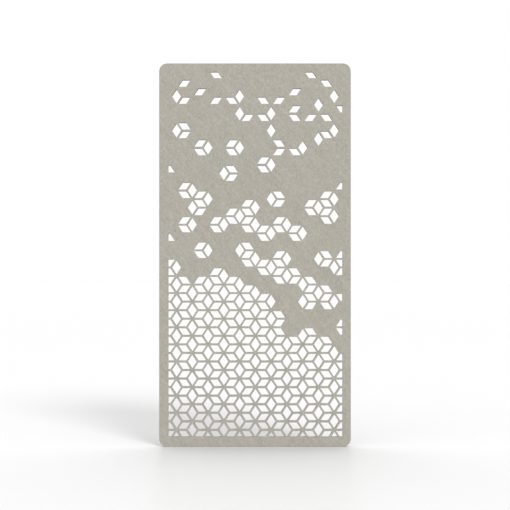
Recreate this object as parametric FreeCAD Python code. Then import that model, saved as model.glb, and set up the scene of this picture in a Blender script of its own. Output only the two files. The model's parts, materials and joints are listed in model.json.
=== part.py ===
"""Hanging acoustic screen: a laminated felt panel cut with tumbling blocks, on a concealed top rail.

Millimetres. The origin is the middle of the top edge, between the two hanging sockets. +Z is up,
+X is to the right seen from the front, and the front face looks along -Y.
"""

import FreeCAD
import Part
import math
import os

V = FreeCAD.Vector

# Panel
screen_width = 1200.0
screen_height = 2400.0
corner_radius = 50.0
board_thickness = 12.0
film_thickness = 0.2

# Cut-out lattice: stars stand in columns, and every other column is half a row higher
column_pitch = 98.9
row_pitch = 107.25
slant_run = 35.3
strut_width = 11.8
lowest_star_height = 49.6
lattice_shift = 2.5
side_margin = 54.0
bottom_margin = 61.0
felt_below_hanger = 9.0

# Top rail
rail_thickness = 5.0
rail_end_radius = 4.0

# Hanging sockets: an M6 thread that swivels in a housing, one near each end of the top edge
hanger_inset = 150.0
thread_bore = 5.0
socket_wall = 2.0
flange_thickness = 3.0
collar_wall = 1.45
collar_length = 5.0
washer_thickness = 1.0
housing_wall = 1.95
housing_web = 10.8
stud_relief = 0.8
slot_width = 1.2
slot_depth = 1.0
edge_chamfer = 0.4

# Cross pins: rolled spring pins through the housing and the rail, two to a housing
pin_diameter = 4.0
pin_wall = 0.8
pin_gap = 0.8
pin_spacing = 11.0
pin_edge_distance = 7.0
pin_recess = 0.5

# Clearances
running_clearance = 0.05
seat_clearance = 0.05
flange_clearance = 0.25
pin_clearance = 0.02
axial_play = 0.1
pocket_clearance = 0.3

# Sizes that follow, as depths below the top edge where they name a level
socket_diameter = thread_bore + 2 * socket_wall
collar_bore = socket_diameter + 2 * running_clearance
collar_diameter = collar_bore + 2 * collar_wall
chamber_diameter = collar_diameter + 2 * seat_clearance
flange_diameter = chamber_diameter - 2 * flange_clearance
housing_diameter = chamber_diameter + 2 * housing_wall
stud_relief_bore = thread_bore + 2 * stud_relief
washer_bottom = collar_length + washer_thickness
flange_top = washer_bottom + axial_play
socket_length = flange_top + flange_thickness
chamber_depth = socket_length + axial_play
rail_depth = chamber_depth + housing_web
rail_height = pin_spacing + 2 * pin_edge_distance
rail_length = screen_width - 2 * side_margin
housing_length = rail_depth + rail_height
pin_hole = pin_diameter + 2 * pin_clearance
top_margin = housing_length + felt_below_hanger
half_field = screen_width / 2 - side_margin
half_row = row_pitch / 2
lowest_star = lowest_star_height - screen_height

# Shares of the column pitch that a slanted strut and a level strut run sideways from their star
slant_share = slant_run / column_pitch
level_share = 1 - slant_share

SAME_PLACE = 1e-4

# Layout of the openings, in lattice steps: columns from the middle one, half rows from the lowest star.
# The close lattice fills each gap between two columns up to the half row given here, left to right.
FIRST_GAP = -6
FIELD_TOPS = [20, 18, 18, 19, 18, 17, 16, 12, 11, 12, 11, 9]
# Above it lie single blocks of three openings. Each is named by the star beside its inner corner.
RIGHT_BLOCKS = [
    (-5, 29), (-5, 25), (-4, 34), (-4, 28), (-4, 22), (-3, 25), (-2, 34), (-2, 26), (-1, 27),
    (-1, 25), (-1, 21), (0, 32), (0, 24), (0, 20), (1, 25), (1, 21), (1, 19), (2, 24), (3, 27),
    (3, 17), (4, 28), (4, 26), (4, 16), (5, 21), (5, 13),
]
LEFT_BLOCKS = [
    (-4, 36), (-3, 27), (-1, 31), (0, 22), (2, 28), (3, 19), (4, 18), (4, 16), (5, 21), (5, 17),
    (6, 20),
]
# Highest of all, the blocks come apart into single slanted openings and single diamonds.
SINGLE_SLANTS = [
    (-6, 31), (-6, 23), (-5, 41), (-5, 39), (-4, 40), (-3, 42), (-3, 39), (-2, 39), (-1, 37), (0, 39),
    (0, 37), (1, 39), (1, 34), (1, 33), (1, 14), (1, 13), (2, 40), (2, 38), (2, 37), (2, 33), (3, 42),
    (3, 37), (4, 41), (4, 37), (4, 35), (5, 38), (5, 29), (5, 16),
]
SINGLE_DIAMONDS = [
    (-5, 40), (-1, 40), (-1, 38), (1, 38), (1, 36), (3, 34), (4, 39), (4, 35), (5, 40), (5, 36),
]


def lattice_point(column, row):
    """Place of a lattice point in the panel's plane, as (x, z)."""
    return lattice_shift + column * column_pitch, lowest_star + row * half_row


def slant_outline(gap, row):
    """Outline of the slanted cell between two columns and two half rows, around its two stars."""
    rising = (gap + row) % 2 == 0
    low_start = gap if rising else gap + slant_share
    high_start = gap + slant_share if rising else gap
    return [
        lattice_point(low_start, row),
        lattice_point(low_start + level_share, row),
        lattice_point(high_start + level_share, row + 1),
        lattice_point(high_start, row + 1),
    ]


def diamond_outline(column, row):
    """Outline of the upright cell between a star and the star above it."""
    return [
        lattice_point(column, row - 1),
        lattice_point(column + slant_share, row),
        lattice_point(column, row + 1),
        lattice_point(column - slant_share, row),
    ]


def inset(outline, distance):
    """The outline, which is convex and runs anticlockwise, drawn in by a distance on every side."""
    lines = []
    for (x0, z0), (x1, z1) in zip(outline, outline[1:] + outline[:1]):
        length = math.hypot(x1 - x0, z1 - z0)
        normal = ((z0 - z1) / length, (x1 - x0) / length)
        lines.append((normal, normal[0] * x0 + normal[1] * z0 + distance))
    corners = []
    for (a, reach_a), (b, reach_b) in zip(lines[-1:] + lines[:-1], lines):
        cross = a[0] * b[1] - a[1] * b[0]
        x = (reach_a * b[1] - reach_b * a[1]) / cross
        z = (a[0] * reach_b - b[0] * reach_a) / cross
        corners.append((x, z))
    return corners


def clip(outline, axis, limit, side):
    """The part of a convex outline past a limit on one axis. Side is 1 to keep more, -1 to keep less."""
    kept = []
    for start, end in zip(outline, outline[1:] + outline[:1]):
        start_past = side * (start[axis] - limit)
        end_past = side * (end[axis] - limit)
        if start_past >= 0:
            kept.append(start)
        if start_past * end_past < 0:
            share = start_past / (start_past - end_past)
            kept.append(tuple(s + share * (e - s) for s, e in zip(start, end)))
    return kept


def area(outline):
    """Area inside an outline that runs anticlockwise."""
    pairs = zip(outline, outline[1:] + outline[:1])
    return sum(x0 * z1 - x1 * z0 for (x0, z0), (x1, z1) in pairs) / 2


def field_top(gap):
    """The half row that the close lattice reaches in a gap. Gaps past the listed ones match the nearest."""
    step = min(max(gap - FIRST_GAP, 0), len(FIELD_TOPS) - 1)
    return FIELD_TOPS[step]


def open_cells():
    """The slanted cells and the diamonds that are cut out, as two sets of lattice steps."""
    slants = set(SINGLE_SLANTS)
    diamonds = set(SINGLE_DIAMONDS)
    for column, row in RIGHT_BLOCKS:
        slants |= {(column, row), (column, row - 1)}
        diamonds.add((column + 1, row))
    for column, row in LEFT_BLOCKS:
        slants |= {(column - 1, row), (column - 1, row - 1)}
        diamonds.add((column - 1, row))
    reach = math.ceil(half_field / column_pitch)
    for gap in range(-reach, reach):
        top = field_top(gap)
        higher = max(top, field_top(gap - 1))
        slants |= {(gap, row) for row in range(top + 1)}
        diamonds |= {(gap, row) for row in range(higher + 1) if (gap + row) % 2 == 1}
    return slants, diamonds


def opening_outlines():
    """Outlines of all the openings inside the margins, without corners too small to cut."""
    slants, diamonds = open_cells()
    cells = [slant_outline(*cell) for cell in sorted(slants)]
    cells += [diamond_outline(*cell) for cell in sorted(diamonds)]
    least_area = (strut_width / 2) ** 2
    kept = []
    for cell in cells:
        outline = inset(cell, strut_width / 2)
        outline = clip(outline, 0, lattice_shift - half_field, 1)
        outline = clip(outline, 0, lattice_shift + half_field, -1)
        outline = clip(outline, 1, bottom_margin - screen_height, 1)
        outline = clip(outline, 1, -top_margin, -1)
        if area(outline) > least_area:
            kept.append(outline)
    return kept


def panel_outline():
    """The panel's edge: a rectangle with round corners, as a wire in the plane y = 0."""
    half = screen_width / 2
    r = corner_radius
    mid = r * (1 - math.sqrt(0.5))
    low = -screen_height
    corners = [
        ((half - r, low), (half - mid, low + mid), (half, low + r)),
        ((half, -r), (half - mid, -mid), (half - r, 0)),
        ((r - half, 0), (mid - half, -mid), (-half, -r)),
        ((-half, low + r), (mid - half, low + mid), (r - half, low)),
    ]
    edges = []
    for corner, following in zip(corners, corners[1:] + corners[:1]):
        start, middle, end = [V(x, 0, z) for x, z in corner]
        edges.append(Part.Arc(start, middle, end).toShape())
        edges.append(Part.LineSegment(end, V(following[0][0], 0, following[0][1])).toShape())
    return Part.Wire(edges)


def panel_face():
    """The panel's face with all its openings, in the plane y = 0."""
    wires = [panel_outline()]
    for outline in opening_outlines():
        points = [V(x, 0, z) for x, z in outline]
        wires.append(Part.makePolygon(points + points[:1]))
    return Part.makeFace(wires, "Part::FaceMakerBullseye")


def upright(diameter, top, bottom, x):
    """A solid round bar on a hanging axis, from a depth to a greater depth below the top edge."""
    return Part.makeCylinder(diameter / 2, bottom - top, V(x, 0, -bottom), V(0, 0, 1))


def hanger_places():
    """Where the hanging axes stand across the panel."""
    reach = screen_width / 2 - hanger_inset
    return {"left": -reach, "right": reach}


def hanger_pockets():
    """Room in the boards for the rail and the housings. The rail's top, front and back lie against felt."""
    long = rail_length + 2 * pocket_clearance
    tall = rail_height + pocket_clearance
    corner = V(-long / 2, -rail_thickness / 2, -rail_depth - tall)
    pockets = [Part.makeBox(long, rail_thickness, tall, corner)]
    for x in hanger_places().values():
        wide = housing_diameter + 2 * pocket_clearance
        pockets.append(upright(wide, 0, housing_length + pocket_clearance, x))
    return pockets


def pin_depths():
    """Depths of a housing's two cross pins below the top edge."""
    upper = rail_depth + pin_edge_distance
    return [upper, upper + pin_spacing]


def cross_bars(diameter, length, x):
    """Round bars through the panel's thickness at the places of one housing's cross pins."""
    return [
        Part.makeCylinder(diameter / 2, length, V(x, -length / 2, -depth), V(0, 1, 0))
        for depth in pin_depths()
    ]


def across_slot(diameter, x):
    """A bar that cuts a spanner slot across the top of a round piece."""
    return Part.makeBox(diameter, slot_width, slot_depth, V(x - diameter / 2, -slot_width / 2, -slot_depth))


def chamfer_rim(shape, z, radius):
    """Breaks the round edges of a radius at a height."""
    rims = [
        e for e in shape.Edges
        if isinstance(e.Curve, Part.Circle) and abs(e.Curve.Radius - radius) < SAME_PLACE
        and abs(e.Curve.Center.z - z) < SAME_PLACE
    ]
    return shape.makeChamfer(edge_chamfer, rims)


def make_layers():
    """The two boards and the film between them, with room for the hanging parts."""
    face = panel_face()
    pockets = hanger_pockets()
    half_film = film_thickness / 2
    places = {
        "front_felt_board": (-half_film - board_thickness, board_thickness),
        "bonding_film": (-half_film, film_thickness),
        "rear_felt_board": (half_film, board_thickness),
    }
    layers = {}
    for name, (front, thickness) in places.items():
        layer = face.extrude(V(0, thickness, 0))
        layer.translate(V(0, front, 0))
        layers[name] = layer.cut(pockets)
    return layers


def make_rail():
    """Flat bar with rounded corners, drilled for the cross pins."""
    corner = V(-rail_length / 2, -rail_thickness / 2, -rail_depth - rail_height)
    bar = Part.makeBox(rail_length, rail_thickness, rail_height, corner)
    corner_edges = [e for e in bar.Edges if abs(e.Vertexes[0].Y - e.Vertexes[1].Y) > SAME_PLACE]
    bar = bar.makeFillet(rail_end_radius, corner_edges)
    holes = []
    for x in hanger_places().values():
        holes += cross_bars(pin_hole, housing_diameter, x)
    return bar.cut(holes)


def make_housing(x):
    """Turned sleeve: chamber for the swivel socket above, fork over the rail below."""
    body = upright(housing_diameter, 0, housing_length, x)
    body = chamfer_rim(body, 0, housing_diameter / 2)
    fork_width = rail_thickness + 2 * seat_clearance
    fork = Part.makeBox(
        housing_diameter, fork_width, rail_height + seat_clearance,
        V(x - housing_diameter / 2, -fork_width / 2, -housing_length),
    )
    chamber = upright(chamber_diameter, 0, chamber_depth, x)
    relief = upright(stud_relief_bore, chamber_depth, rail_depth, x)
    holes = cross_bars(pin_hole, housing_diameter, x)
    return body.cut([fork, chamber, relief] + holes)


def make_socket(x):
    """Swivel socket: a flanged bush with the hanging thread, which turns under the collar."""
    bush = chamfer_rim(upright(socket_diameter, 0, socket_length, x), 0, socket_diameter / 2)
    flange = upright(flange_diameter, flange_top, socket_length, x)
    thread = upright(thread_bore, 0, socket_length, x)
    return bush.fuse(flange).removeSplitter().cut([thread, across_slot(socket_diameter, x)])


def make_washer(x):
    """Thrust washer that takes the pull of the socket's flange."""
    ring = upright(collar_diameter, collar_length, washer_bottom, x)
    return ring.cut(upright(collar_bore, collar_length, washer_bottom, x))


def make_collar(x):
    """Retaining collar, turned into the top of the housing with a spanner."""
    ring = upright(collar_diameter, 0, collar_length, x)
    bore = upright(collar_bore, 0, collar_length, x)
    return ring.cut([bore, across_slot(collar_diameter, x)])


def make_pins(x):
    """The two rolled spring pins of one housing, each a tube with a slit along it."""
    length = housing_diameter - 2 * pin_recess
    tubes = cross_bars(pin_diameter, length, x)
    bores = cross_bars(pin_diameter - 2 * pin_wall, length, x)
    pins = []
    for tube, bore, depth in zip(tubes, bores, pin_depths()):
        slit = Part.makeBox(pin_diameter, length, pin_gap, V(x, -length / 2, -depth - pin_gap / 2))
        pins.append(tube.cut([bore, slit]))
    return Part.makeCompound(pins)


def build():
    """Makes every sub-part and writes each to its own file."""
    nodes = make_layers()
    nodes["top_rail"] = make_rail()
    for side, x in hanger_places().items():
        nodes[side + "_hanger_housing"] = make_housing(x)
        nodes[side + "_swivel_socket"] = make_socket(x)
        nodes[side + "_thrust_washer"] = make_washer(x)
        nodes[side + "_retaining_collar"] = make_collar(x)
        nodes[side + "_cross_pins"] = make_pins(x)
    os.makedirs("parts", exist_ok=True)
    for name, shape in nodes.items():
        shape.exportStep(os.path.join("parts", name + ".step"))
        print(name, "solids", len(shape.Solids), "volume", round(shape.Volume), "valid", shape.isValid())


build()
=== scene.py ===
"""The looks of a hanging acoustic screen of pressed felt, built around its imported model."""

import json
import math

import bmesh
import bpy
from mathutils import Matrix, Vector


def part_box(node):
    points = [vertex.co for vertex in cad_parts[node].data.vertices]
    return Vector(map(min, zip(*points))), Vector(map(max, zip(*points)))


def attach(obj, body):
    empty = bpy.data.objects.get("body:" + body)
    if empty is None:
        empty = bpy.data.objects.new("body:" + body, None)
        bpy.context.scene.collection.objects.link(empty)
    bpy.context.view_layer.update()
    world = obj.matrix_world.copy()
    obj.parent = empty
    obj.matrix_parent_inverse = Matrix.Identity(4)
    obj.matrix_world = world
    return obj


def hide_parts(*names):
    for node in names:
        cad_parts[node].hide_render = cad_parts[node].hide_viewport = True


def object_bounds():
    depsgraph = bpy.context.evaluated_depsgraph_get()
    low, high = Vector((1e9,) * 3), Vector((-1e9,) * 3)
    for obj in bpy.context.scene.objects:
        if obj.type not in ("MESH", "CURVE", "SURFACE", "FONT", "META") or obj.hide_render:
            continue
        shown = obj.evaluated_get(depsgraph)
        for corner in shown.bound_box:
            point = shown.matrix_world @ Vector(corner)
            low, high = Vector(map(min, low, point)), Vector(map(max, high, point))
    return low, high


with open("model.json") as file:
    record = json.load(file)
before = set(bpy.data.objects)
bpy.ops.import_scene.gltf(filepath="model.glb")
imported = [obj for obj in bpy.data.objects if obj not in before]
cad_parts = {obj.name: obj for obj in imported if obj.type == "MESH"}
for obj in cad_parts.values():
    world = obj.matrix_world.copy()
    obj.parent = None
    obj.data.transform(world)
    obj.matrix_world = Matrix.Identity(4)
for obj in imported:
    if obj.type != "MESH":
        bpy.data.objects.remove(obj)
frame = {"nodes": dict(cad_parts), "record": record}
cad_low, cad_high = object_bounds()

bl_info = {
    "name": "Hanging acoustic screen",
    "version": (1, 0, 0),
    "blender": (4, 5, 0),
    "location": "3D View > Sidebar > Acoustic screen",
    "description": "Makes the felt, the hanging parts and the studio of an acoustic screen",
    "category": "Object",
}

SIDES = ("left", "right")
MILLIMETRE = 0.001

# What counts as one place, as flat, as a sharp edge and as a smooth one
MERGE_DISTANCE = 1e-5
SAME_PLACE = 1e-5
FLAT_ANGLE = math.radians(1.0)
SHARP_ANGLE = math.radians(30.0)
SMOOTH_ANGLE = math.radians(40.0)

# Axes of a place, from front to back and upwards
DEPTH = 1
HEIGHT = 2

# Material slots of a board
FACE_SLOT = 0
CUT_SLOT = 1

# Felt: how its strands and tufts lie, in degrees from upright
PALE_LAYS = (12.0, 71.0, 133.0)
DARK_LAYS = (40.0, 101.0, 164.0)
TUFT_LAYS = (-32.0, 3.0, 38.0)

# Felt: how far its strands, tufts and streaks change its tone, and the tones of its cut layers
MIDDLE_TONE = 0.5
STRAND_LIFT = 0.3
TUFT_LIFT = 0.88
STREAK_LIFT = 0.36
CUT_TONES = (-0.3, 1.1)

# Felt: how far strands and tufts bend, as shares of their length, and how crisp they are
STRAND_BEND = 0.35
TUFT_BEND = 0.4
STRAND_EDGES = (0.52, 0.68)
TUFT_DETAIL = 4.0
TUFT_ROUGHNESS = 0.62
LAYER_DETAIL = 3.0

# Felt: height of its dark strands as a share of the pale ones' height
DARK_STRAND_HEIGHT = 0.6

# Felt: gloss, from its dark to its pale fibres, and the sheen of its nap
FELT_ROUGHNESS = (0.98, 0.86)
FELT_SPECULAR = 0.2
FELT_SHEEN = 0.12
FELT_SHEEN_ROUGHNESS = 0.6

# Film: its wrinkles
WRINKLE_SIZE = 6 * MILLIMETRE
WRINKLE_HEIGHT = 0.1 * MILLIMETRE
WRINKLE_DETAIL = 3.0
WRINKLE_STRENGTH = 0.3
WRINKLE_SHADE = 0.8
FILM_ROUGHNESS = (0.45, 0.65)

# Metal: patches where it has been handled, and how much marks and patches each dull it
PATCH_SIZE = 5 * MILLIMETRE
PATCH_EDGES = (0.35, 0.7)
PATCH_DETAIL = 4.0
PATCH_SHADE = 0.86
MARK_SHARE = 0.6
PATCH_SHARE = 0.4

# Metal: rings of a turned piece, and lines along a drawn bar and along a rolled pin
RING_DETAIL = 2.0
DRAWN_LINE = (60 * MILLIMETRE, 0.5 * MILLIMETRE, 0.5 * MILLIMETRE)
DRAWN_DETAIL = 3.0
ROLLED_LINE = (0.3 * MILLIMETRE, 8 * MILLIMETRE, 0.3 * MILLIMETRE)

# How strongly marks and fibres stand out, and facets across a broken edge
RELIEF_STRENGTH = 0.5
BROKEN_EDGE_STEPS = 2

# Thread: half widths as shares of its pitch, and how far it is sunk in the wall as a share of its depth
RIDGE_BASE = 0.44
RIDGE_CREST = 0.06
RIDGE_SUNK = 0.1

# Length of the saw for a slot, in radii of the piece
SAW_LENGTH = 2.5

# Colour of the studio's light, and tilt of a camera that looks level
WHITE = (1.0, 1.0, 1.0, 1.0)
LEVEL_TILT = math.radians(90.0)


def mount(name):
    """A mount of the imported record, by name."""
    return next(each for each in frame["record"]["mounts"] if each["name"] == name)


def hanging_axis(side):
    """Where a hanging axis stands across the screen."""
    return mount(side + "_socket_thread")["pos_m"][0]


class FeltSettings(bpy.types.PropertyGroup):
    """Sizes and colours of the pressed felt."""

    pale_colour: bpy.props.FloatVectorProperty(
        name="Pale heather", description="Colour of the lightest fibres",
        subtype="COLOR", min=0.0, max=1.0, default=(0.577, 0.554, 0.496))
    dark_colour: bpy.props.FloatVectorProperty(
        name="Dark heather", description="Colour of the darkest fibres",
        subtype="COLOR", min=0.0, max=1.0, default=(0.320, 0.298, 0.248))
    # Partly painted shade: the cut edges are darkened below the face felt, partly for the denser cut
    # felt's own tone and partly for the shade inside the openings
    cut_tone_and_painted_shade: bpy.props.FloatProperty(
        name="Cut shade", description="How pale the cut edges are beside the faces",
        subtype="FACTOR", min=0.0, max=1.0, default=0.78)
    film_colour: bpy.props.FloatVectorProperty(
        name="Film", description="Colour of the film that joins the boards",
        subtype="COLOR", min=0.0, max=1.0, default=(0.40, 0.38, 0.33))
    rim_radius: bpy.props.FloatProperty(
        name="Rim radius", description="How far the cut rims of the faces are rounded",
        unit="LENGTH", min=0.0001, default=0.0009)
    rim_steps: bpy.props.IntProperty(
        name="Rim steps", description="Facets across a rounded rim", min=1, max=6, default=3)
    tuft_width: bpy.props.FloatProperty(
        name="Tuft width", description="Width of the pale and dark tufts in the felt",
        unit="LENGTH", min=0.001, default=0.0052)
    tuft_length: bpy.props.FloatProperty(
        name="Tuft length", description="Length of the pale and dark tufts in the felt",
        unit="LENGTH", min=0.001, default=0.0160)
    streak_width: bpy.props.FloatProperty(
        name="Streak width", description="Width of the carded streaks",
        unit="LENGTH", min=0.001, default=0.020)
    streak_length: bpy.props.FloatProperty(
        name="Streak length", description="Length of the carded streaks",
        unit="LENGTH", min=0.001, default=0.110)
    streak_turn: bpy.props.FloatProperty(
        name="Streak turn", description="How far the carded streaks lean from upright",
        unit="ROTATION", default=math.radians(42.0))
    strand_width: bpy.props.FloatProperty(
        name="Strand width", description="Distance across one strand of fibres to the next",
        unit="LENGTH", min=0.0001, default=0.00036)
    strand_length: bpy.props.FloatProperty(
        name="Strand length", description="Length of a strand of fibres on the surface",
        unit="LENGTH", min=0.0005, default=0.008)
    layer_size: bpy.props.FloatProperty(
        name="Layer size", description="Thickness of a carded layer seen on a cut edge",
        unit="LENGTH", min=0.0002, default=0.0016)
    nap_height: bpy.props.FloatProperty(
        name="Nap height", description="Depth of the fibres' relief",
        unit="LENGTH", min=0.0, default=0.0001)


class MetalSettings(bpy.types.PropertyGroup):
    """Sizes and colours of the hanging parts."""

    steel_colour: bpy.props.FloatVectorProperty(
        name="Plated steel", description="Colour of the housings and collars",
        subtype="COLOR", min=0.0, max=1.0, default=(0.58, 0.58, 0.57))
    brass_colour: bpy.props.FloatVectorProperty(
        name="Brass", description="Colour of the sockets and washers",
        subtype="COLOR", min=0.0, max=1.0, default=(0.76, 0.57, 0.26))
    aluminium_colour: bpy.props.FloatVectorProperty(
        name="Aluminium", description="Colour of the rail",
        subtype="COLOR", min=0.0, max=1.0, default=(0.72, 0.73, 0.74))
    spring_colour: bpy.props.FloatVectorProperty(
        name="Spring steel", description="Colour of the cross pins",
        subtype="COLOR", min=0.0, max=1.0, default=(0.33, 0.33, 0.34))
    mark_spacing: bpy.props.FloatProperty(
        name="Mark spacing", description="Distance between two tool marks",
        unit="LENGTH", min=0.00005, default=0.00025)
    broken_edge: bpy.props.FloatProperty(
        name="Broken edge", description="Width of the bevel on a turned edge",
        unit="LENGTH", min=0.00002, default=0.0002)
    socket_wall: bpy.props.FloatProperty(
        name="Socket wall", description="Wall of the socket around its thread",
        unit="LENGTH", min=0.0005, default=0.002)
    socket_chamfer: bpy.props.FloatProperty(
        name="Socket chamfer", description="Chamfer around the top of the socket",
        unit="LENGTH", min=0.0001, default=0.0004)
    flange_thickness: bpy.props.FloatProperty(
        name="Flange thickness", description="Thickness of the socket's flange",
        unit="LENGTH", min=0.0005, default=0.003)
    collar_wall: bpy.props.FloatProperty(
        name="Collar wall", description="Wall of the collar around the socket",
        unit="LENGTH", min=0.0005, default=0.00145)
    thread_pitch: bpy.props.FloatProperty(
        name="Thread pitch", description="Rise of the hanging thread in one turn",
        unit="LENGTH", min=0.0002, default=0.001)
    thread_depth: bpy.props.FloatProperty(
        name="Thread depth", description="Depth of the hanging thread",
        unit="LENGTH", min=0.0001, default=0.0005)
    slot_width: bpy.props.FloatProperty(
        name="Slot width", description="Width of a spanner slot",
        unit="LENGTH", min=0.0002, default=0.0012)
    slot_depth: bpy.props.FloatProperty(
        name="Slot depth", description="Depth of a spanner slot",
        unit="LENGTH", min=0.0002, default=0.001)
    turned_sides: bpy.props.IntProperty(
        name="Turned sides", description="Facets around a turned piece", min=12, default=64)


class StageSettings(bpy.types.PropertyGroup):
    """The studio around the screen."""

    camera_distance: bpy.props.FloatProperty(
        name="Camera distance", description="From the camera to the screen's front face",
        unit="LENGTH", min=1.0, default=6.7)
    view_width: bpy.props.FloatProperty(
        name="View width", description="Width of the picture at the screen's front face",
        unit="LENGTH", min=0.5, default=3.1935)
    floor_gap: bpy.props.FloatProperty(
        name="Floor gap", description="Height at which the screen hangs above the floor",
        unit="LENGTH", min=0.0, default=0.0005)
    floor_size: bpy.props.FloatProperty(
        name="Floor size", description="Length of the floor's sides",
        unit="LENGTH", min=5.0, default=80.0)
    floor_shade: bpy.props.FloatProperty(
        name="Floor shade", description="How pale the floor is under the lamps",
        subtype="FACTOR", min=0.0, max=1.0, default=0.635)
    floor_bounce: bpy.props.FloatProperty(
        name="Floor bounce", description="How pale the floor is to the light that it throws back up",
        subtype="FACTOR", min=0.0, max=1.0, default=0.16)
    # Painted contact shade: how far and how widely the floor's colour is darkened by occlusion around
    # the screen
    painted_contact_shade_depth: bpy.props.FloatProperty(
        name="Contact depth", description="How far the floor darkens where the screen stands over it",
        subtype="FACTOR", min=0.0, max=1.0, default=0.30)
    painted_contact_shade_reach: bpy.props.FloatProperty(
        name="Contact reach", description="How far away the screen still darkens the floor",
        unit="LENGTH", min=0.0, default=3.0)
    floor_roughness: bpy.props.FloatProperty(
        name="Floor roughness", description="How far the floor blurs what it mirrors",
        subtype="FACTOR", min=0.0, max=1.0, default=0.40)
    floor_gloss: bpy.props.FloatProperty(
        name="Floor gloss", description="How strongly the floor mirrors",
        subtype="FACTOR", min=0.0, max=1.0, default=0.20)
    front_sky: bpy.props.FloatProperty(
        name="Front sky", description="Soft light from in front of the screen", min=0.0, default=0.75)
    back_sky: bpy.props.FloatProperty(
        name="Back sky", description="Soft light from behind the screen", min=0.0, default=1.60)
    key_strength: bpy.props.FloatProperty(
        name="Key strength", description="Light of the main lamp", min=0.0, default=1.94)
    key_softness: bpy.props.FloatProperty(
        name="Key softness", description="Width of the main lamp as the screen sees it",
        unit="ROTATION", min=0.0, default=math.radians(22.0))
    key_turn: bpy.props.FloatProperty(
        name="Key turn", description="How far the main lamp stands to the right",
        unit="ROTATION", default=math.radians(30.0))
    key_height: bpy.props.FloatProperty(
        name="Key height", description="How high the main lamp stands",
        unit="ROTATION", default=math.radians(43.5))


def felt_settings():
    """The felt's settings in this scene."""
    return bpy.context.scene.acoustic_felt


def metal_settings():
    """The metal's settings in this scene."""
    return bpy.context.scene.acoustic_metal


def stage_settings():
    """The studio's settings in this scene."""
    return bpy.context.scene.acoustic_stage


# Small helpers for nodes

def feed(tree, socket, value):
    """Sets a socket to a value, or links it to another socket."""
    if isinstance(value, bpy.types.NodeSocket):
        tree.links.new(value, socket)
    else:
        socket.default_value = value


def maths(tree, operation, first, second=0.0):
    """The result of a sum, product or other step on one or two values."""
    made = tree.nodes.new("ShaderNodeMath")
    made.operation = operation
    feed(tree, made.inputs[0], first)
    feed(tree, made.inputs[1], second)
    return made.outputs[0]


def topmost(tree, values):
    """The largest of several values."""
    highest = values[0]
    for value in values[1:]:
        highest = maths(tree, "MAXIMUM", highest, value)
    return highest


def swing(tree, value, reach):
    """How far a value from 0 to 1 lies above or below a half, times a reach."""
    return maths(tree, "MULTIPLY", maths(tree, "SUBTRACT", value, 0.5), reach)


def eased(tree, value, start, end):
    """A value that eases from 0 at the start to 1 at the end."""
    made = tree.nodes.new("ShaderNodeMapRange")
    made.interpolation_type = "SMOOTHSTEP"
    feed(tree, made.inputs["Value"], value)
    feed(tree, made.inputs["From Min"], start)
    feed(tree, made.inputs["From Max"], end)
    return made.outputs["Result"]


def ranged(tree, value, low, high, start=0.0):
    """A value that runs from the start to 1, spread between a low and a high one."""
    made = tree.nodes.new("ShaderNodeMapRange")
    feed(tree, made.inputs["Value"], value)
    feed(tree, made.inputs["From Min"], start)
    feed(tree, made.inputs["To Min"], low)
    feed(tree, made.inputs["To Max"], high)
    return made.outputs["Result"]


def opaque(colour, shade=1.0):
    """A colour for a socket, with all its parts shaded alike."""
    return (*[shade * part for part in colour], 1.0)


def mixed(tree, factor, first, second):
    """Two colours mixed by a factor."""
    made = tree.nodes.new("ShaderNodeMix")
    made.data_type = "RGBA"
    colours = [socket for socket in made.inputs if socket.type == "RGBA"]
    feed(tree, made.inputs[0], factor)
    feed(tree, colours[0], first)
    feed(tree, colours[1], second)
    return next(socket for socket in made.outputs if socket.type == "RGBA")


def turned(tree, vector, angle):
    """A vector turned about the line from front to back."""
    made = tree.nodes.new("ShaderNodeVectorRotate")
    made.rotation_type = "Y_AXIS"
    feed(tree, made.inputs["Vector"], vector)
    feed(tree, made.inputs["Angle"], angle)
    return made.outputs["Vector"]


def joined(tree, x, y, z):
    """Three values as one vector."""
    made = tree.nodes.new("ShaderNodeCombineXYZ")
    for socket, value in zip(made.inputs, (x, y, z)):
        feed(tree, socket, value)
    return made.outputs[0]


def stretched(tree, vector, x, y, z):
    """A vector measured in other lengths: each side is divided by its own length."""
    made = tree.nodes.new("ShaderNodeVectorMath")
    made.operation = "DIVIDE"
    feed(tree, made.inputs[0], vector)
    feed(tree, made.inputs[1], joined(tree, x, y, z))
    return made.outputs[0]


def noise(tree, vector, detail, roughness=0.5):
    """The outputs of soft noise, one cloud wide at a length of 1."""
    made = tree.nodes.new("ShaderNodeTexNoise")
    feed(tree, made.inputs["Vector"], vector)
    feed(tree, made.inputs["Scale"], 1.0)
    feed(tree, made.inputs["Detail"], detail)
    feed(tree, made.inputs["Roughness"], roughness)
    return made.outputs


def clouds(tree, vector, detail=2.0, roughness=0.5):
    """Soft clouds from 0 to 1. A higher roughness brings out the finer ones."""
    return noise(tree, vector, detail, roughness)["Fac"]


def waved(tree, vector, size, reach):
    """A vector pushed about by soft waves, so that what lies straight in it bends."""
    waves = noise(tree, stretched(tree, vector, size, size, size), detail=1.0)
    push = tree.nodes.new("ShaderNodeVectorMath")
    push.operation = "MULTIPLY_ADD"
    feed(tree, push.inputs[0], waves["Color"])
    feed(tree, push.inputs[1], joined(tree, reach, reach, reach))
    feed(tree, push.inputs[2], vector)
    return push.outputs[0]


def strands(tree, vector, lay, width, length):
    """Fine strands that lie one way: 1 in the middle of a strand and 0 between strands."""
    along = turned(tree, vector, math.radians(lay))
    fine = clouds(tree, stretched(tree, along, width, width, length), detail=1.0)
    return eased(tree, fine, *STRAND_EDGES)


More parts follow.
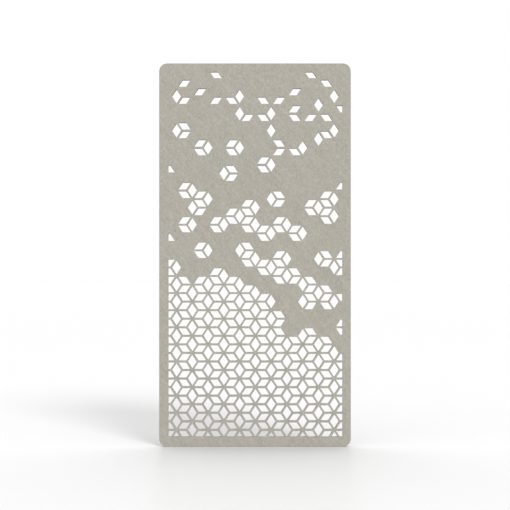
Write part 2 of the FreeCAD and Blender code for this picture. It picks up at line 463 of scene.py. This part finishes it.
def new_group(name, values, outputs):
    """A node group that takes a vector and some values. Returns its tree, inputs and outputs."""
    tree = bpy.data.node_groups.new(name, "ShaderNodeTree")
    tree.interface.new_socket("Vector", in_out="INPUT", socket_type="NodeSocketVector")
    for label in values:
        tree.interface.new_socket(label, in_out="INPUT", socket_type="NodeSocketFloat")
    for label in outputs:
        tree.interface.new_socket(label, in_out="OUTPUT", socket_type="NodeSocketFloat")
    return tree, tree.nodes.new("NodeGroupInput").outputs, tree.nodes.new("NodeGroupOutput").inputs


def placed_group(tree, name, build, **values):
    """The outputs of a node group in a material. The group is built the first time it is asked for."""
    made = tree.nodes.new("ShaderNodeGroup")
    made.node_tree = bpy.data.node_groups.get(name) or build(name)
    for label, value in values.items():
        feed(tree, made.inputs[label.replace("_", " ").title()], value)
    return made.outputs


def new_finish(name):
    """A material with only its shader. Returns the material, its tree, shader and object coordinates."""
    finish = bpy.data.materials.new(name)
    finish.use_nodes = True
    tree = finish.node_tree
    shader = tree.nodes["Principled BSDF"]
    coordinates = tree.nodes.new("ShaderNodeTexCoord").outputs["Object"]
    return finish, tree, shader, coordinates


def relief(tree, shader, height, distance, strength=RELIEF_STRENGTH):
    """Raises a height in the shader's surface."""
    made = tree.nodes.new("ShaderNodeBump")
    feed(tree, made.inputs["Height"], height)
    feed(tree, made.inputs["Distance"], distance)
    feed(tree, made.inputs["Strength"], strength)
    tree.links.new(made.outputs["Normal"], shader.inputs["Normal"])


# Effects that several finishes share

def build_felt_fibres(name):
    """Fine pale and dark strands that lie all ways in cloudy felt, and the tone and height they give."""
    tree, given, put = new_group(name, ["Strand Width", "Strand Length", "Cloud"], ["Tone", "Height"])
    width = given["Strand Width"]
    length = given["Strand Length"]
    bent = waved(tree, given["Vector"], length, maths(tree, "MULTIPLY", length, STRAND_BEND))
    pale = topmost(tree, [strands(tree, bent, lay, width, length) for lay in PALE_LAYS])
    dark = topmost(tree, [strands(tree, bent, lay, width, length) for lay in DARK_LAYS])
    lift = maths(tree, "MULTIPLY", maths(tree, "SUBTRACT", pale, dark), STRAND_LIFT)
    feed(tree, put["Tone"], maths(tree, "ADD", given["Cloud"], lift))
    height = maths(tree, "ADD", pale, maths(tree, "MULTIPLY", dark, DARK_STRAND_HEIGHT))
    feed(tree, put["Height"], maths(tree, "ADD", height, given["Cloud"]))
    return tree


def build_lathe_marks(name):
    """Fine rings around the two hanging axes, as a turning tool leaves them."""
    tree, given, put = new_group(name, ["Axis Reach", "Spacing"], ["Marks"])
    parts = tree.nodes.new("ShaderNodeSeparateXYZ")
    feed(tree, parts.inputs[0], given["Vector"])
    across = maths(tree, "SUBTRACT", maths(tree, "ABSOLUTE", parts.outputs["X"]), given["Axis Reach"])
    radius_squared = maths(
        tree, "ADD", maths(tree, "MULTIPLY", across, across),
        maths(tree, "MULTIPLY", parts.outputs["Y"], parts.outputs["Y"]))
    path = maths(tree, "ADD", maths(tree, "SQRT", radius_squared), parts.outputs["Z"])
    rings = tree.nodes.new("ShaderNodeTexNoise")
    rings.noise_dimensions = "1D"
    feed(tree, rings.inputs["W"], maths(tree, "DIVIDE", path, given["Spacing"]))
    feed(tree, rings.inputs["Scale"], 1.0)
    feed(tree, rings.inputs["Detail"], RING_DETAIL)
    feed(tree, put["Marks"], rings.outputs["Fac"])
    return tree


def build_handling(name):
    """Faint patches where metal has been handled."""
    tree, given, put = new_group(name, ["Patch Size"], ["Patches"])
    size = given["Patch Size"]
    patches = clouds(tree, stretched(tree, given["Vector"], size, size, size), PATCH_DETAIL)
    feed(tree, put["Patches"], eased(tree, patches, *PATCH_EDGES))
    return tree


# Finishes

def felt_finish(name, cloud_builder, shade=1.0):
    """Pressed heather felt, with clouds of its own and all its colours shaded alike."""
    felt = felt_settings()
    # On the cut edges this factor is partly the cut felt's own tone and partly painted shade for the
    # openings' walls
    dark = opaque(felt.dark_colour, shade)
    pale = opaque(felt.pale_colour, shade)
    finish, tree, shader, coordinates = new_finish(name)
    fibres = placed_group(
        tree, "felt_fibres", build_felt_fibres, vector=coordinates, strand_width=felt.strand_width,
        strand_length=felt.strand_length, cloud=cloud_builder(tree, coordinates))
    feed(tree, shader.inputs["Base Color"], mixed(tree, fibres["Tone"], dark, pale))
    feed(tree, shader.inputs["Roughness"], ranged(tree, fibres["Tone"], *FELT_ROUGHNESS))
    shader.inputs["Specular IOR Level"].default_value = FELT_SPECULAR
    shader.inputs["Sheen Weight"].default_value = FELT_SHEEN
    shader.inputs["Sheen Roughness"].default_value = FELT_SHEEN_ROUGHNESS
    shader.inputs["Sheen Tint"].default_value = pale
    relief(tree, shader, fibres["Height"], felt.nap_height)
    return finish


def face_clouds(tree, coordinates):
    """Tufts that lie mostly upright, with longer carded streaks that run down to the right."""
    felt = felt_settings()
    tuft = (felt.tuft_width, felt.tuft_width, felt.tuft_length)
    streak = (felt.streak_width, felt.streak_width, felt.streak_length)
    bent = waved(tree, coordinates, felt.tuft_length, TUFT_BEND * felt.tuft_length)
    tone = MIDDLE_TONE
    for lay in TUFT_LAYS:
        along = turned(tree, bent, math.radians(lay))
        tufts = clouds(tree, stretched(tree, along, *tuft), TUFT_DETAIL, TUFT_ROUGHNESS)
        tone = maths(tree, "ADD", tone, swing(tree, tufts, TUFT_LIFT))
    lean = turned(tree, coordinates, felt.streak_turn)
    streaks = clouds(tree, stretched(tree, lean, *streak))
    return maths(tree, "ADD", tone, swing(tree, streaks, STREAK_LIFT))


def cut_clouds(tree, coordinates):
    """Carded layers seen edge on."""
    felt = felt_settings()
    layer = (felt.tuft_width, felt.layer_size, felt.tuft_width)
    layers = clouds(tree, stretched(tree, coordinates, *layer), LAYER_DETAIL)
    return ranged(tree, layers, *CUT_TONES)


def film_finish():
    """Thin milky film, faintly wrinkled."""
    colour = felt_settings().film_colour
    finish, tree, shader, coordinates = new_finish("bonding_film")
    size = WRINKLE_SIZE
    wrinkles = clouds(tree, stretched(tree, coordinates, size, size, size), WRINKLE_DETAIL)
    shades = (opaque(colour, WRINKLE_SHADE), opaque(colour))
    feed(tree, shader.inputs["Base Color"], mixed(tree, wrinkles, *shades))
    feed(tree, shader.inputs["Roughness"], ranged(tree, wrinkles, *FILM_ROUGHNESS))
    relief(tree, shader, wrinkles, WRINKLE_HEIGHT, WRINKLE_STRENGTH)
    return finish


def metal_finish(name, colour, marks_builder, smooth, rough, depth):
    """Worked metal: its marks change the gloss and the relief, and handling dulls it in patches."""
    finish, tree, shader, coordinates = new_finish(name)
    marks = marks_builder(tree, coordinates)
    handled = placed_group(tree, "handling", build_handling, vector=coordinates, patch_size=PATCH_SIZE)
    patches = handled["Patches"]
    shades = (opaque(colour), opaque(colour, PATCH_SHADE))
    feed(tree, shader.inputs["Base Color"], mixed(tree, patches, *shades))
    dulled = maths(
        tree, "ADD", maths(tree, "MULTIPLY", marks, MARK_SHARE),
        maths(tree, "MULTIPLY", patches, PATCH_SHARE))
    feed(tree, shader.inputs["Roughness"], ranged(tree, dulled, smooth, rough))
    shader.inputs["Metallic"].default_value = 1.0
    relief(tree, shader, marks, depth)
    return finish


def turning_marks(tree, coordinates):
    """The rings of a turned piece."""
    rings = placed_group(
        tree, "lathe_marks", build_lathe_marks, vector=coordinates, axis_reach=hanging_axis("right"),
        spacing=metal_settings().mark_spacing)
    return rings["Marks"]


def drawn_marks(tree, coordinates):
    """Lines along a drawn bar."""
    return clouds(tree, stretched(tree, coordinates, *DRAWN_LINE), DRAWN_DETAIL)


def rolled_marks(tree, coordinates):
    """Lines along a pin that is rolled from strip."""
    return clouds(tree, stretched(tree, coordinates, *ROLLED_LINE))


def plated_steel():
    """Turned steel with a satin zinc plating."""
    return metal_finish(
        "plated_steel", metal_settings().steel_colour, turning_marks,
        smooth=0.24, rough=0.46, depth=0.02 * MILLIMETRE)


def turned_brass():
    """Turned brass, bare."""
    return metal_finish(
        "turned_brass", metal_settings().brass_colour, turning_marks,
        smooth=0.16, rough=0.36, depth=0.02 * MILLIMETRE)


def drawn_aluminium():
    """Drawn aluminium bar as it comes from the mill."""
    return metal_finish(
        "drawn_aluminium", metal_settings().aluminium_colour, drawn_marks,
        smooth=0.3, rough=0.52, depth=0.03 * MILLIMETRE)


def spring_steel():
    """Oiled dark spring steel."""
    return metal_finish(
        "spring_steel", metal_settings().spring_colour, rolled_marks,
        smooth=0.28, rough=0.5, depth=0.02 * MILLIMETRE)


def finish_node(name, finish):
    """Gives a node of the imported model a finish."""
    for slot in frame["nodes"][name].material_slots:
        slot.material = finish


# Modelling helpers

def take_up(piece):
    """Makes a piece the only selected and active one."""
    bpy.ops.object.select_all(action="DESELECT")
    bpy.context.view_layer.objects.active = piece
    piece.select_set(True)


def merge_places():
    """Merges the corners that share a place, in the mesh that is being edited."""
    bpy.ops.mesh.select_all(action="SELECT")
    bpy.ops.mesh.remove_doubles(threshold=MERGE_DISTANCE)


def check_closed(piece):
    """Stops the work if a piece has an open or doubled edge."""
    shape = bmesh.new()
    shape.from_mesh(piece.data)
    loose = sum(not edge.is_manifold for edge in shape.edges)
    shape.free()
    if loose:
        raise RuntimeError(f"{piece.name} has {loose} edges that don't join two faces")


def merged_copy(node, name):
    """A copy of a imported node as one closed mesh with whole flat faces."""
    piece = bpy.data.objects.new(name, frame["nodes"][node].data.copy())
    bpy.context.scene.collection.objects.link(piece)
    piece.data.materials.clear()
    take_up(piece)
    bpy.ops.mesh.customdata_custom_splitnormals_clear()
    bpy.ops.object.mode_set(mode="EDIT")
    merge_places()
    bpy.ops.mesh.dissolve_limited(angle_limit=FLAT_ANGLE)
    bpy.ops.object.mode_set(mode="OBJECT")
    return piece


def bevel_edges(piece, width, steps, axis, level):
    """Rounds the sharp edges of a piece that lie at a level on an axis."""
    take_up(piece)
    bpy.ops.object.mode_set(mode="EDIT")
    bpy.ops.mesh.select_mode(type="EDGE")
    bpy.ops.mesh.select_all(action="DESELECT")
    shape = bmesh.from_edit_mesh(piece.data)
    for edge in shape.edges:
        if edge.is_manifold and edge.calc_face_angle() > SHARP_ANGLE:
            if all(abs(corner.co[axis] - level) < SAME_PLACE for corner in edge.verts):
                edge.select_set(True)
    bmesh.update_edit_mesh(piece.data)
    bpy.ops.mesh.bevel(offset=width, segments=steps, affect="EDGES", clamp_overlap=False)
    bpy.ops.object.mode_set(mode="OBJECT")


def weigh_normals(piece):
    """Shades round places smoothly, with flat faces kept flat."""
    take_up(piece)
    bpy.ops.object.shade_smooth_by_angle(angle=SMOOTH_ANGLE)
    weight = piece.modifiers.new("flat faces", "WEIGHTED_NORMAL")
    weight.keep_sharp = True
    bpy.ops.object.modifier_apply(modifier=weight.name)


def turned_piece(name, outline):
    """A turned ring about the left hanging axis. Its outline lists radius and height, and closes."""
    x = hanging_axis("left")
    sides = metal_settings().turned_sides
    radius, height = outline[0]
    bpy.ops.object.select_all(action="DESELECT")
    bpy.ops.mesh.primitive_circle_add(vertices=sides, radius=radius, location=(x, 0.0, height))
    piece = bpy.context.active_object
    piece.name = name
    bpy.ops.object.transform_apply(location=True, rotation=True, scale=True)
    bpy.ops.object.mode_set(mode="EDIT")
    bpy.ops.mesh.select_all(action="SELECT")
    for next_radius, next_height in outline[1:] + outline[:1]:
        rise = (0.0, 0.0, next_height - height)
        bpy.ops.mesh.extrude_edges_move(TRANSFORM_OT_translate={"value": rise})
        share = next_radius / radius
        bpy.ops.transform.resize(value=(share, share, 1.0), center_override=(x, 0.0, next_height))
        radius, height = next_radius, next_height
    merge_places()
    bpy.ops.mesh.normals_make_consistent(inside=False)
    bpy.ops.object.mode_set(mode="OBJECT")
    return piece


def combine(piece, tool, operation):
    """Takes a tool's shape from a piece or adds it to the piece, and puts the tool away."""
    take_up(piece)
    step = piece.modifiers.new("combine", "BOOLEAN")
    step.operation = operation
    step.solver = "EXACT"
    step.object = tool
    bpy.ops.object.modifier_apply(modifier=step.name)
    bpy.data.objects.remove(tool)
    bpy.ops.object.mode_set(mode="EDIT")
    merge_places()
    bpy.ops.mesh.dissolve_degenerate(threshold=MERGE_DISTANCE)
    bpy.ops.object.mode_set(mode="OBJECT")


def cut_slot(piece, radius, top):
    """Saws a spanner slot across the top of a turned piece, with a saw that reaches as far above it."""
    metal = metal_settings()
    bpy.ops.object.select_all(action="DESELECT")
    bpy.ops.mesh.primitive_cube_add(
        size=1.0, location=(hanging_axis("left"), 0.0, top),
        scale=(SAW_LENGTH * radius, metal.slot_width, 2 * metal.slot_depth))
    combine(piece, bpy.context.active_object, "DIFFERENCE")


def thread_ridge(crest, bottom, top):
    """The helical ridge of an inside thread, from its lowest to its highest place."""
    metal = metal_settings()
    base = crest + (1 + RIDGE_SUNK) * metal.thread_depth
    half_base = RIDGE_BASE * metal.thread_pitch
    half_crest = RIDGE_CREST * metal.thread_pitch
    section = [
        (base, -half_base),
        (crest, -half_crest),
        (crest, half_crest),
        (base, half_base),
    ]
    bpy.ops.object.select_all(action="DESELECT")
    bpy.ops.mesh.primitive_circle_add(
        vertices=len(section), radius=half_base, location=(hanging_axis("left"), 0.0, bottom))
    ridge = bpy.context.active_object
    for corner, (radius, height) in zip(ridge.data.vertices, section):
        corner.co = (radius, 0.0, height)
    screw = ridge.modifiers.new("thread", "SCREW")
    screw.screw_offset = metal.thread_pitch
    screw.iterations = int((top - bottom) / metal.thread_pitch)
    screw.steps = metal.turned_sides // 2
    screw.render_steps = screw.steps
    bpy.ops.object.modifier_apply(modifier=screw.name)
    bpy.ops.object.transform_apply(location=True, rotation=True, scale=True)
    bpy.ops.object.mode_set(mode="EDIT")
    bpy.ops.mesh.select_all(action="DESELECT")
    bpy.ops.mesh.select_mode(type="EDGE")
    bpy.ops.mesh.select_non_manifold()
    bpy.ops.mesh.fill()
    bpy.ops.mesh.select_all(action="SELECT")
    bpy.ops.mesh.normals_make_consistent(inside=False)
    bpy.ops.object.mode_set(mode="OBJECT")
    return ridge


def finished_pair(left, right_name, finish):
    """A left piece with its finish, and a copy of it with its own mesh at the right hanging axis."""
    left.data.materials.append(finish)
    weigh_normals(left)
    take_up(left)
    bpy.ops.object.duplicate(linked=False)
    right = bpy.context.active_object
    right.name = right_name
    reach = hanging_axis("right") - hanging_axis("left")
    bpy.ops.transform.translate(value=(reach, 0.0, 0.0))
    bpy.ops.object.transform_apply(location=True, rotation=True, scale=True)
    return left, right


def settle(piece, body, slot, *nodes):
    """Joins a finished piece to its body and hides the nodes that it stands for; its slot is not used.
    """
    check_closed(piece)
    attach(piece, body)
    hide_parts(*nodes)


# Pieces

class ACOUSTIC_SCREEN_OT_felt_boards(bpy.types.Operator):
    """Rounds the cut rims of the two felt boards and gives them their felt"""

    bl_idname = "acoustic_screen.felt_boards"
    bl_label = "Felt boards"

    def execute(self, context):
        felt = felt_settings()
        face = felt_finish("heather_felt", face_clouds)
        # The cut felt is the face felt darkened, partly its own cut tone and partly painted shade in the
        # openings
        cut = felt_finish("cut_felt", cut_clouds, felt.cut_tone_and_painted_shade)
        for place in ("front", "rear"):
            node = place + "_felt_board"
            low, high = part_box(node)
            outer = low.y if place == "front" else high.y
            board = merged_copy(node, place + "_felt")
            bevel_edges(board, felt.rim_radius, felt.rim_steps, DEPTH, outer)
            board.data.materials.append(face)
            board.data.materials.append(cut)
            for part in board.data.polygons:
                flat = abs(part.normal.y) > math.cos(SMOOTH_ANGLE)
                part.material_index = FACE_SLOT if flat else CUT_SLOT
            weigh_normals(board)
            settle(board, "screen", "felt", node)
        return {"FINISHED"}


class ACOUSTIC_SCREEN_OT_bonding_film(bpy.types.Operator):
    """Gives the film between the boards its finish"""

    bl_idname = "acoustic_screen.bonding_film"
    bl_label = "Bonding film"

    def execute(self, context):
        finish_node("bonding_film", film_finish())
        return {"FINISHED"}


class ACOUSTIC_SCREEN_OT_top_rail(bpy.types.Operator):
    """Gives the hidden rail and its cross pins their finishes"""

    bl_idname = "acoustic_screen.top_rail"
    bl_label = "Top rail and pins"

    def execute(self, context):
        finish_node("top_rail", drawn_aluminium())
        spring = spring_steel()
        for side in SIDES:
            finish_node(side + "_cross_pins", spring)
        return {"FINISHED"}


class ACOUSTIC_SCREEN_OT_hanger_housings(bpy.types.Operator):
    """Breaks the upper edges of the housings and turns their collars"""

    bl_idname = "acoustic_screen.hanger_housings"
    bl_label = "Hanger housings"

    def execute(self, context):
        steel = plated_steel()
        for side in SIDES:
            node = side + "_hanger_housing"
            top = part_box(node)[1].z
            housing = merged_copy(node, side + "_housing")
            bevel_edges(housing, metal_settings().broken_edge, BROKEN_EDGE_STEPS, HEIGHT, top)
            housing.data.materials.append(steel)
            weigh_normals(housing)
            settle(housing, "screen", "housing", node)
        collars = finished_pair(self.turn_collar(), "right_collar", steel)
        for side, collar in zip(SIDES, collars):
            settle(collar, "screen", "housing", side + "_retaining_collar")
        return {"FINISHED"}

    def turn_collar(self):
        """Turns the left retaining collar and saws its slot."""
        metal = metal_settings()
        low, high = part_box("left_retaining_collar")
        outer = (high.x - low.x) / 2
        bore = outer - metal.collar_wall
        edge = metal.broken_edge
        outline = [
            (bore + edge, high.z),
            (outer - edge, high.z),
            (outer, high.z - edge),
            (outer, low.z + edge),
            (outer - edge, low.z),
            (bore, low.z),
            (bore, high.z - edge),
        ]
        collar = turned_piece("left_collar", outline)
        cut_slot(collar, outer, high.z)
        return collar


class ACOUSTIC_SCREEN_OT_swivel_sockets(bpy.types.Operator):
    """Turns the swivel sockets, cuts their threads and finishes their washers"""

    bl_idname = "acoustic_screen.swivel_sockets"
    bl_label = "Swivel sockets"

    def execute(self, context):
        brass = turned_brass()
        sockets = finished_pair(self.turn_socket(), "right_socket", brass)
        for side, socket in zip(SIDES, sockets):
            settle(socket, side + "_swivel", "socket", side + "_swivel_socket")
            finish_node(side + "_thrust_washer", brass)
        return {"FINISHED"}

    def turn_socket(self):
        """Turns the left flanged socket with a slot across its top and a thread in its bore."""
        metal = metal_settings()
        low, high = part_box("left_swivel_socket")
        crest = mount("left_socket_thread")["dims"]["r_mm"] * MILLIMETRE
        root = crest + metal.thread_depth
        bush = crest + metal.socket_wall
        flange = (high.x - low.x) / 2
        shoulder = low.z + metal.flange_thickness
        edge = metal.broken_edge
        outline = [
            (root + edge, high.z),
            (bush - metal.socket_chamfer, high.z),
            (bush, high.z - metal.socket_chamfer),
            (bush, shoulder),
            (flange - edge, shoulder),
            (flange, shoulder - edge),
            (flange, low.z + edge),
            (flange - edge, low.z),
            (root + edge, low.z),
            (root, low.z + edge),
            (root, high.z - edge),
        ]
        socket = turned_piece("left_socket", outline)
        cut_slot(socket, bush, high.z)
        thread_top = high.z - metal.slot_depth - metal.thread_pitch
        ridge = thread_ridge(crest, low.z + metal.thread_pitch, thread_top)
        combine(socket, ridge, "UNION")
        return socket


# Studio

class ACOUSTIC_SCREEN_OT_stage(bpy.types.Operator):
    """Lays the pale floor and sets the soft light and the camera"""

    bl_idname = "acoustic_screen.stage"
    bl_label = "Stage"

    def execute(self, context):
        context.scene.view_settings.view_transform = "Standard"
        self.lay_floor()
        self.hang_sky(context.scene)
        self.hang_key()
        self.place_camera(context.scene)
        return {"FINISHED"}

    def lay_floor(self):
        """A wide pale floor just below the screen, which throws little light back up at it, with painted
        contact shade where the screen stands over it.
        """
        stage = stage_settings()
        bpy.ops.object.select_all(action="DESELECT")
        bpy.ops.mesh.primitive_plane_add(
            size=stage.floor_size, location=(0.0, 0.0, cad_low.z - stage.floor_gap))
        floor = bpy.context.active_object
        floor.name = "studio_floor"
        finish, tree, shader, _ = new_finish("pale_floor")
        bounced = tree.nodes.new("ShaderNodeLightPath").outputs["Is Diffuse Ray"]
        shade = ranged(tree, bounced, stage.floor_shade, stage.floor_bounce)
        # Painted contact shade: ambient occlusion darkens the floor's colour near the screen, on top of
        # its real shadows
        painted_shade_occlusion = tree.nodes.new("ShaderNodeAmbientOcclusion")
        painted_shade_occlusion.inputs["Distance"].default_value = stage.painted_contact_shade_reach
        painted_shade_factor = ranged(tree, painted_shade_occlusion.outputs["AO"], 1.0 - stage.painted_contact_shade_depth, 1.0)
        feed(tree, shader.inputs["Base Color"], maths(tree, "MULTIPLY", shade, painted_shade_factor))
        shader.inputs["Roughness"].default_value = stage.floor_roughness
        shader.inputs["Specular IOR Level"].default_value = stage.floor_gloss
        floor.data.materials.append(finish)

    def hang_sky(self, scene):
        """Soft light that is stronger from behind, with white behind the picture and in reflections."""
        stage = stage_settings()
        sky = bpy.data.worlds.new("studio_sky")
        sky.use_nodes = True
        scene.world = sky
        tree = sky.node_tree
        direction = tree.nodes.new("ShaderNodeSeparateXYZ")
        feed(tree, direction.inputs[0], tree.nodes.new("ShaderNodeTexCoord").outputs["Generated"])
        strength = ranged(tree, direction.outputs["Y"], stage.front_sky, stage.back_sky, start=-1.0)
        soft = tree.nodes["Background"]
        soft.inputs["Color"].default_value = WHITE
        feed(tree, soft.inputs["Strength"], strength)
        white = tree.nodes.new("ShaderNodeBackground")
        white.inputs["Color"].default_value = WHITE
        ray = tree.nodes.new("ShaderNodeLightPath").outputs
        seen = topmost(tree, [ray["Is Camera Ray"], ray["Is Glossy Ray"], ray["Is Transmission Ray"]])
        either = tree.nodes.new("ShaderNodeMixShader")
        feed(tree, either.inputs[0], seen)
        tree.links.new(soft.outputs[0], either.inputs[1])
        tree.links.new(white.outputs[0], either.inputs[2])
        tree.links.new(either.outputs[0], tree.nodes["World Output"].inputs["Surface"])

    def hang_key(self):
        """The main lamp, high on the right in front of the screen."""
        stage = stage_settings()
        level = math.cos(stage.key_height)
        travel = Vector((
            -math.sin(stage.key_turn) * level,
            math.cos(stage.key_turn) * level,
            -math.sin(stage.key_height)))
        bpy.ops.object.light_add(type="SUN", rotation=travel.to_track_quat("-Z", "Y").to_euler())
        key = bpy.context.active_object
        key.name = "key_lamp"
        key.data.energy = stage.key_strength
        key.data.angle = stage.key_softness

    def place_camera(self, scene):
        """Level in front of the middle of the screen."""
        stage = stage_settings()
        middle = (cad_low + cad_high) / 2
        bpy.ops.object.camera_add(
            location=(middle.x, cad_low.y - stage.camera_distance, middle.z),
            rotation=(LEVEL_TILT, 0.0, 0.0))
        camera = bpy.context.active_object
        camera.name = "studio_camera"
        camera.data.lens = camera.data.sensor_width * stage.camera_distance / stage.view_width
        scene.camera = camera


class ACOUSTIC_SCREEN_PT_sidebar(bpy.types.Panel):
    """Lists the screen's settings and the steps that make it"""

    bl_idname = "ACOUSTIC_SCREEN_PT_sidebar"
    bl_label = "Acoustic screen"
    bl_space_type = "VIEW_3D"
    bl_region_type = "UI"
    bl_category = "Acoustic screen"

    def draw(self, context):
        layout = self.layout
        for settings in (felt_settings(), metal_settings(), stage_settings()):
            box = layout.box()
            for name in settings.__annotations__:
                box.prop(settings, name)
        for step in STEPS:
            layout.operator(step.bl_idname)


SETTINGS = {
    "acoustic_felt": FeltSettings,
    "acoustic_metal": MetalSettings,
    "acoustic_stage": StageSettings,
}
STEPS = (
    ACOUSTIC_SCREEN_OT_felt_boards,
    ACOUSTIC_SCREEN_OT_bonding_film,
    ACOUSTIC_SCREEN_OT_top_rail,
    ACOUSTIC_SCREEN_OT_hanger_housings,
    ACOUSTIC_SCREEN_OT_swivel_sockets,
    ACOUSTIC_SCREEN_OT_stage,
)


def register():
    """Adds the classes and the scene's settings."""
    for each in (*SETTINGS.values(), *STEPS, ACOUSTIC_SCREEN_PT_sidebar):
        bpy.utils.register_class(each)
    for name, settings in SETTINGS.items():
        setattr(bpy.types.Scene, name, bpy.props.PointerProperty(type=settings))


def unregister():
    """Takes the settings and the classes away again."""
    for name in SETTINGS:
        delattr(bpy.types.Scene, name)
    for each in reversed((*SETTINGS.values(), *STEPS, ACOUSTIC_SCREEN_PT_sidebar)):
        bpy.utils.unregister_class(each)


def main():
    """Makes every piece and the studio."""
    register()
    bpy.ops.acoustic_screen.felt_boards()
    bpy.ops.acoustic_screen.bonding_film()
    bpy.ops.acoustic_screen.top_rail()
    bpy.ops.acoustic_screen.hanger_housings()
    bpy.ops.acoustic_screen.swivel_sockets()
    bpy.ops.acoustic_screen.stage()


if __name__ == "__main__":
    main()
